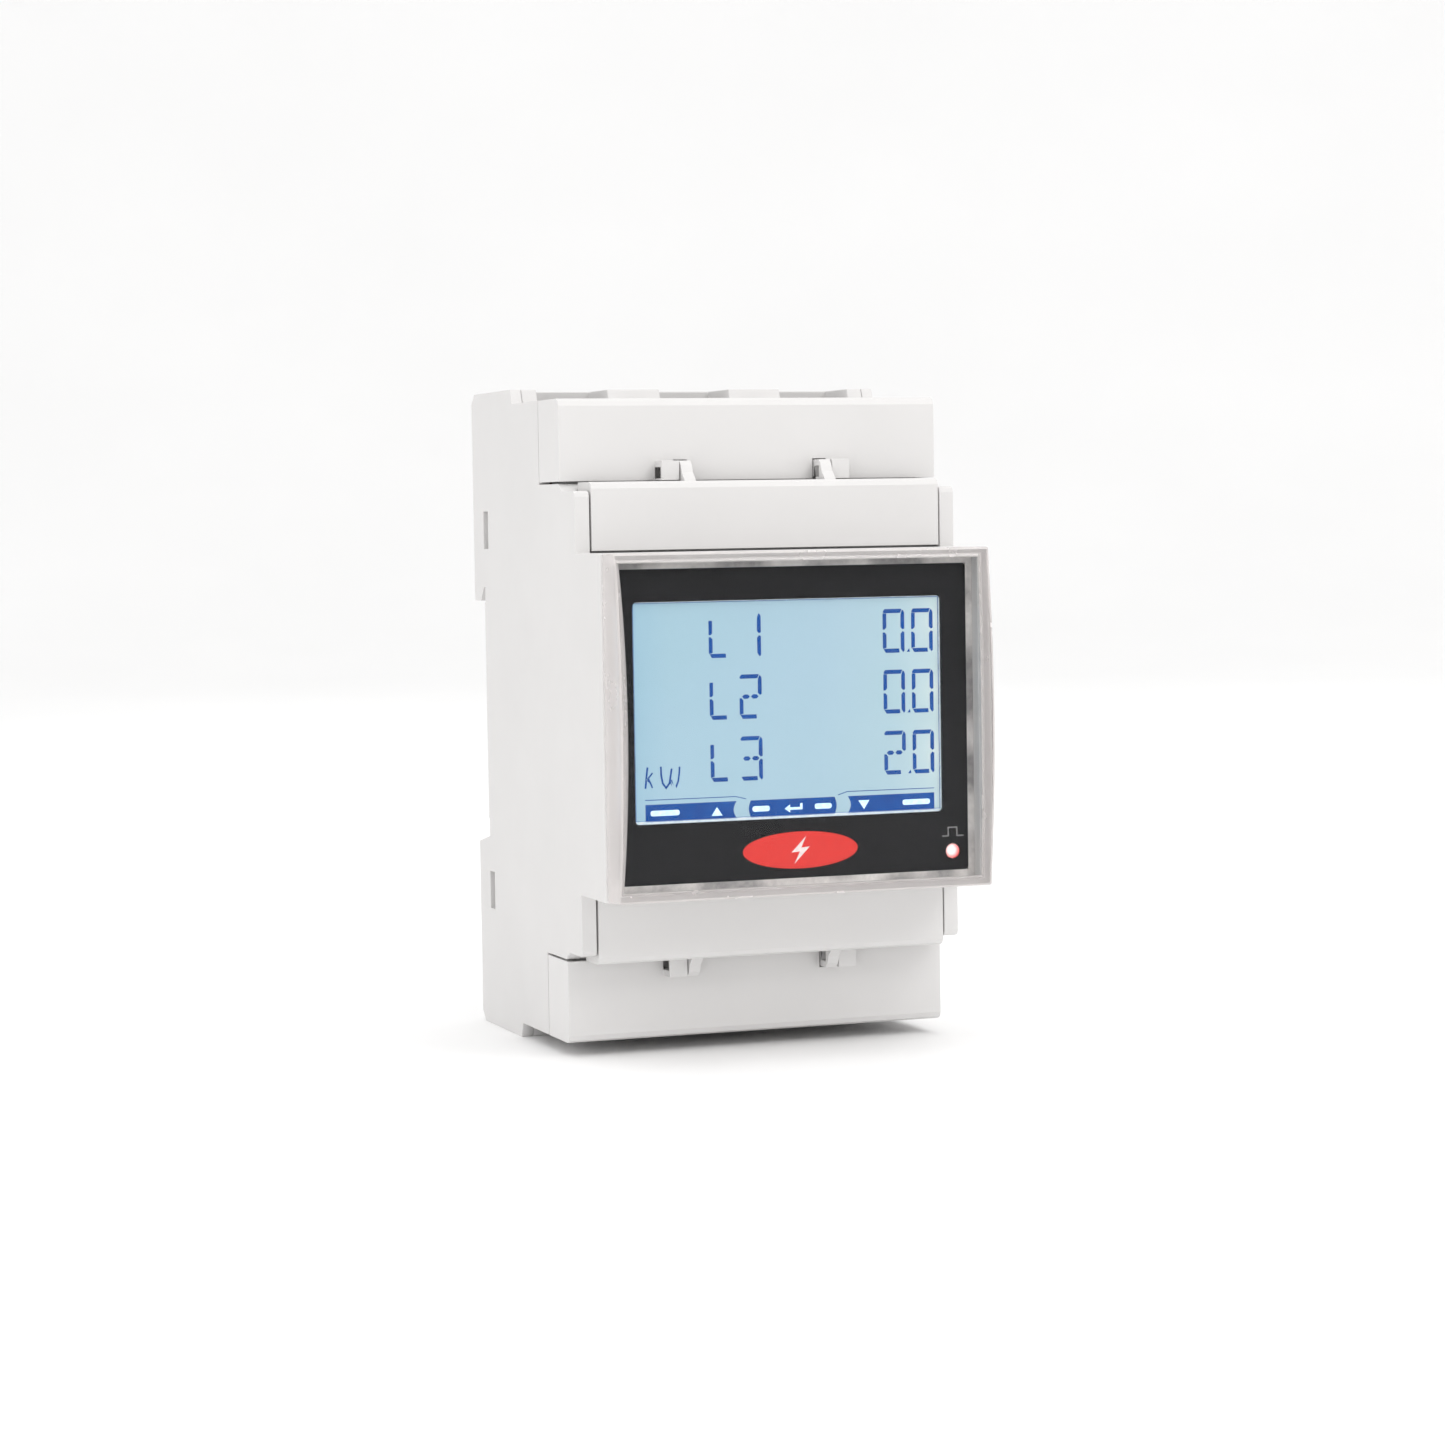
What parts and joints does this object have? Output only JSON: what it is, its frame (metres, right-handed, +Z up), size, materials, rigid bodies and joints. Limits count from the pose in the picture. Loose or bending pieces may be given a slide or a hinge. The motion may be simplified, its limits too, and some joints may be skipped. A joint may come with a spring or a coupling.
{
  "type": "three-phase energy meter",
  "caption": "Rail-mounted three-phase energy meter with a lit touch display, screw terminals behind sealable covers and a sprung rail clip.",
  "frame": {"origin": "centre of the rail seat, where the 35 mm rail's face rests against the meter's back, halfway up and halfway across", "axes": "+X along the rail, to the right as seen from the front; +Y towards the rail and the wall; +Z up; the display faces -Y"},
  "size_m": [0.054, 0.063, 0.09],
  "materials": {
    "housing_grey_white": "finely textured warm grey-white moulded plastic",
    "cover_grey_white": "finely textured warm white moulded plastic",
    "clear_plastic": "clear polished polycarbonate",
    "bond_clear": "thin clear-white bond line",
    "adhesive_grey": "thin uneven bead of grey adhesive",
    "printed_black": "black screen print with a fine grain",
    "touch_film": "thin clear touch film",
    "lcd_blue": "lit light blue liquid crystal display with deep blue segments",
    "diffuser_white": "milky light guide",
    "led_body": "small LED packages",
    "carrier_white": "white moulded carrier",
    "contact_gold": "plated contacts",
    "board_green": "green solder mask",
    "light_pipe_red": "light pipe lit red from behind",
    "capacitor_sleeve": "dark shrink sleeve",
    "varistor_blue": "blue dipped coating",
    "transformer_dark": "dark ferrite and yellow tape",
    "chip_black": "black chip packages",
    "insulator_grey": "dark grey glass-filled plastic",
    "clip_plastic": "grey-white moulded plastic",
    "spring_steel": "drawn spring wire",
    "tinned_copper": "tinned copper bar",
    "coil_blue": "blue moulded current transformer",
    "zinc_steel": "zinc-plated steel",
    "clamp_steel": "zinc-plated steel clamp",
    "clamp_brass": "nickel-tinted brass clamp"
  },
  "bodies": {
    "meter": {"main_housing": "housing_grey_white", "rear_base": "housing_grey_white", "entry_frame_top": "housing_grey_white", "entry_frame_bottom": "housing_grey_white", "terminal_hood_top": "housing_grey_white", "terminal_hood_bottom": "housing_grey_white", "window": "clear_plastic", "window_gasket": "bond_clear", "display_panel": "printed_black", "panel_seal": "adhesive_grey", "touch_foil": "touch_film", "lcd_glass": "lcd_blue", "light_guide": "diffuser_white", "backlight_leds": "led_body", "lcd_frame": "carrier_white", "lcd_contacts": "contact_gold", "display_board": "board_green", "pulse_led": "led_body", "led_light_pipe": "light_pipe_red", "power_board": "board_green", "board_header": "contact_gold", "supply_capacitors": "capacitor_sleeve", "surge_varistors": "varistor_blue", "supply_transformer": "transformer_dark", "meter_chips": "chip_black", "terminal_block_top": "insulator_grey", "terminal_block_bottom": "insulator_grey", "busbar_l1": "tinned_copper", "busbar_l2": "tinned_copper", "busbar_l3": "tinned_copper", "current_coil_l1": "coil_blue", "current_coil_l2": "coil_blue", "current_coil_l3": "coil_blue", "aux_contacts": "contact_gold", "clip_spring": "spring_steel"},
    "cover_top": {"terminal_cover_top": "cover_grey_white"},
    "panel_top": {"shoulder_panel_top": "cover_grey_white"},
    "cover_bottom": {"terminal_cover_bottom": "cover_grey_white"},
    "panel_bottom": {"shoulder_panel_bottom": "cover_grey_white"},
    "clip": {"rail_clip": "clip_plastic"},
    "screw_top_l1": {"screw_top_l1": "zinc_steel"},
    "clamp_top_l1": {"clamp_top_l1": "clamp_steel"},
    "screw_top_l2": {"screw_top_l2": "zinc_steel"},
    "clamp_top_l2": {"clamp_top_l2": "clamp_steel"},
    "screw_top_l3": {"screw_top_l3": "zinc_steel"},
    "clamp_top_l3": {"clamp_top_l3": "clamp_steel"},
    "aux_screw_top_1": {"aux_screw_top_1": "zinc_steel"},
    "aux_clamp_top_1": {"aux_clamp_top_1": "clamp_brass"},
    "aux_screw_top_2": {"aux_screw_top_2": "zinc_steel"},
    "aux_clamp_top_2": {"aux_clamp_top_2": "clamp_brass"},
    "screw_bottom_l1": {"screw_bottom_l1": "zinc_steel"},
    "clamp_bottom_l1": {"clamp_bottom_l1": "clamp_steel"},
    "screw_bottom_l2": {"screw_bottom_l2": "zinc_steel"},
    "clamp_bottom_l2": {"clamp_bottom_l2": "clamp_steel"},
    "screw_bottom_l3": {"screw_bottom_l3": "zinc_steel"},
    "clamp_bottom_l3": {"clamp_bottom_l3": "clamp_steel"},
    "aux_screw_bottom_1": {"aux_screw_bottom_1": "zinc_steel"},
    "aux_clamp_bottom_1": {"aux_clamp_bottom_1": "clamp_brass"},
    "aux_screw_bottom_2": {"aux_screw_bottom_2": "zinc_steel"},
    "aux_clamp_bottom_2": {"aux_clamp_bottom_2": "clamp_brass"}
  },
  "joints": [
    {"name": "cover_top_off", "type": "slide", "parent": "meter", "child": "cover_top", "axis": [0, -1, 0], "range_m": [0, 0.03]},
    {"name": "panel_top_off", "type": "slide", "parent": "meter", "child": "panel_top", "axis": [0, -1, 0], "range_m": [0, 0.02]},
    {"name": "cover_bottom_off", "type": "slide", "parent": "meter", "child": "cover_bottom", "axis": [0, -1, 0], "range_m": [0, 0.03]},
    {"name": "panel_bottom_off", "type": "slide", "parent": "meter", "child": "panel_bottom", "axis": [0, -1, 0], "range_m": [0, 0.02]},
    {"name": "clip_pull", "type": "slide", "parent": "meter", "child": "clip", "axis": [0, 0, -1], "range_m": [0, 0.004], "stiffness_N_per_m": 400, "springref_m": -0.003, "deforming": ["clip_spring"]},
    {"name": "turn_top_l1", "type": "hinge", "parent": "meter", "child": "screw_top_l1", "pos_m": [-0.018, -0.0225, 0.0361], "axis": [0, 1, 0], "range_deg": [0, 2700]},
    {"name": "lift_top_l1", "type": "slide", "parent": "meter", "child": "clamp_top_l1", "axis": [0, -1, 0], "range_m": [0, 0.006]},
    {"name": "turn_top_l2", "type": "hinge", "parent": "meter", "child": "screw_top_l2", "pos_m": [0, -0.0225, 0.0361], "axis": [0, 1, 0], "range_deg": [0, 2700]},
    {"name": "lift_top_l2", "type": "slide", "parent": "meter", "child": "clamp_top_l2", "axis": [0, -1, 0], "range_m": [0, 0.006]},
    {"name": "turn_top_l3", "type": "hinge", "parent": "meter", "child": "screw_top_l3", "pos_m": [0.018, -0.0225, 0.0361], "axis": [0, 1, 0], "range_deg": [0, 2700]},
    {"name": "lift_top_l3", "type": "slide", "parent": "meter", "child": "clamp_top_l3", "axis": [0, -1, 0], "range_m": [0, 0.006]},
    {"name": "aux_turn_top_1", "type": "hinge", "parent": "meter", "child": "aux_screw_top_1", "pos_m": [-0.009, -0.0225, 0.0361], "axis": [0, 1, 0], "range_deg": [0, 1760]},
    {"name": "aux_lift_top_1", "type": "slide", "parent": "meter", "child": "aux_clamp_top_1", "axis": [0, -1, 0], "range_m": [0, 0.0022]},
    {"name": "aux_turn_top_2", "type": "hinge", "parent": "meter", "child": "aux_screw_top_2", "pos_m": [0.009, -0.0225, 0.0361], "axis": [0, 1, 0], "range_deg": [0, 1760]},
    {"name": "aux_lift_top_2", "type": "slide", "parent": "meter", "child": "aux_clamp_top_2", "axis": [0, -1, 0], "range_m": [0, 0.0022]},
    {"name": "turn_bottom_l1", "type": "hinge", "parent": "meter", "child": "screw_bottom_l1", "pos_m": [-0.018, -0.0225, -0.0361], "axis": [0, 1, 0], "range_deg": [0, 2700]},
    {"name": "lift_bottom_l1", "type": "slide", "parent": "meter", "child": "clamp_bottom_l1", "axis": [0, -1, 0], "range_m": [0, 0.006]},
    {"name": "turn_bottom_l2", "type": "hinge", "parent": "meter", "child": "screw_bottom_l2", "pos_m": [0, -0.0225, -0.0361], "axis": [0, 1, 0], "range_deg": [0, 2700]},
    {"name": "lift_bottom_l2", "type": "slide", "parent": "meter", "child": "clamp_bottom_l2", "axis": [0, -1, 0], "range_m": [0, 0.006]},
    {"name": "turn_bottom_l3", "type": "hinge", "parent": "meter", "child": "screw_bottom_l3", "pos_m": [0.018, -0.0225, -0.0361], "axis": [0, 1, 0], "range_deg": [0, 2700]},
    {"name": "lift_bottom_l3", "type": "slide", "parent": "meter", "child": "clamp_bottom_l3", "axis": [0, -1, 0], "range_m": [0, 0.006]},
    {"name": "aux_turn_bottom_1", "type": "hinge", "parent": "meter", "child": "aux_screw_bottom_1", "pos_m": [-0.009, -0.0225, -0.0361], "axis": [0, 1, 0], "range_deg": [0, 1760]},
    {"name": "aux_lift_bottom_1", "type": "slide", "parent": "meter", "child": "aux_clamp_bottom_1", "axis": [0, -1, 0], "range_m": [0, 0.0022]},
    {"name": "aux_turn_bottom_2", "type": "hinge", "parent": "meter", "child": "aux_screw_bottom_2", "pos_m": [0.009, -0.0225, -0.0361], "axis": [0, 1, 0], "range_deg": [0, 1760]},
    {"name": "aux_lift_bottom_2", "type": "slide", "parent": "meter", "child": "aux_clamp_bottom_2", "axis": [0, -1, 0], "range_m": [0, 0.0022]}
  ],
  "couplings": [
    {"joint": "turn_top_l1", "follows": "lift_top_l1", "rad_per_m": 7854},
    {"joint": "turn_top_l2", "follows": "lift_top_l2", "rad_per_m": 7854},
    {"joint": "turn_top_l3", "follows": "lift_top_l3", "rad_per_m": 7854},
    {"joint": "aux_turn_top_1", "follows": "aux_lift_top_1", "rad_per_m": 13963},
    {"joint": "aux_turn_top_2", "follows": "aux_lift_top_2", "rad_per_m": 13963},
    {"joint": "turn_bottom_l1", "follows": "lift_bottom_l1", "rad_per_m": 7854},
    {"joint": "turn_bottom_l2", "follows": "lift_bottom_l2", "rad_per_m": 7854},
    {"joint": "turn_bottom_l3", "follows": "lift_bottom_l3", "rad_per_m": 7854},
    {"joint": "aux_turn_bottom_1", "follows": "aux_lift_bottom_1", "rad_per_m": 13963},
    {"joint": "aux_turn_bottom_2", "follows": "aux_lift_bottom_2", "rad_per_m": 13963}
  ]
}
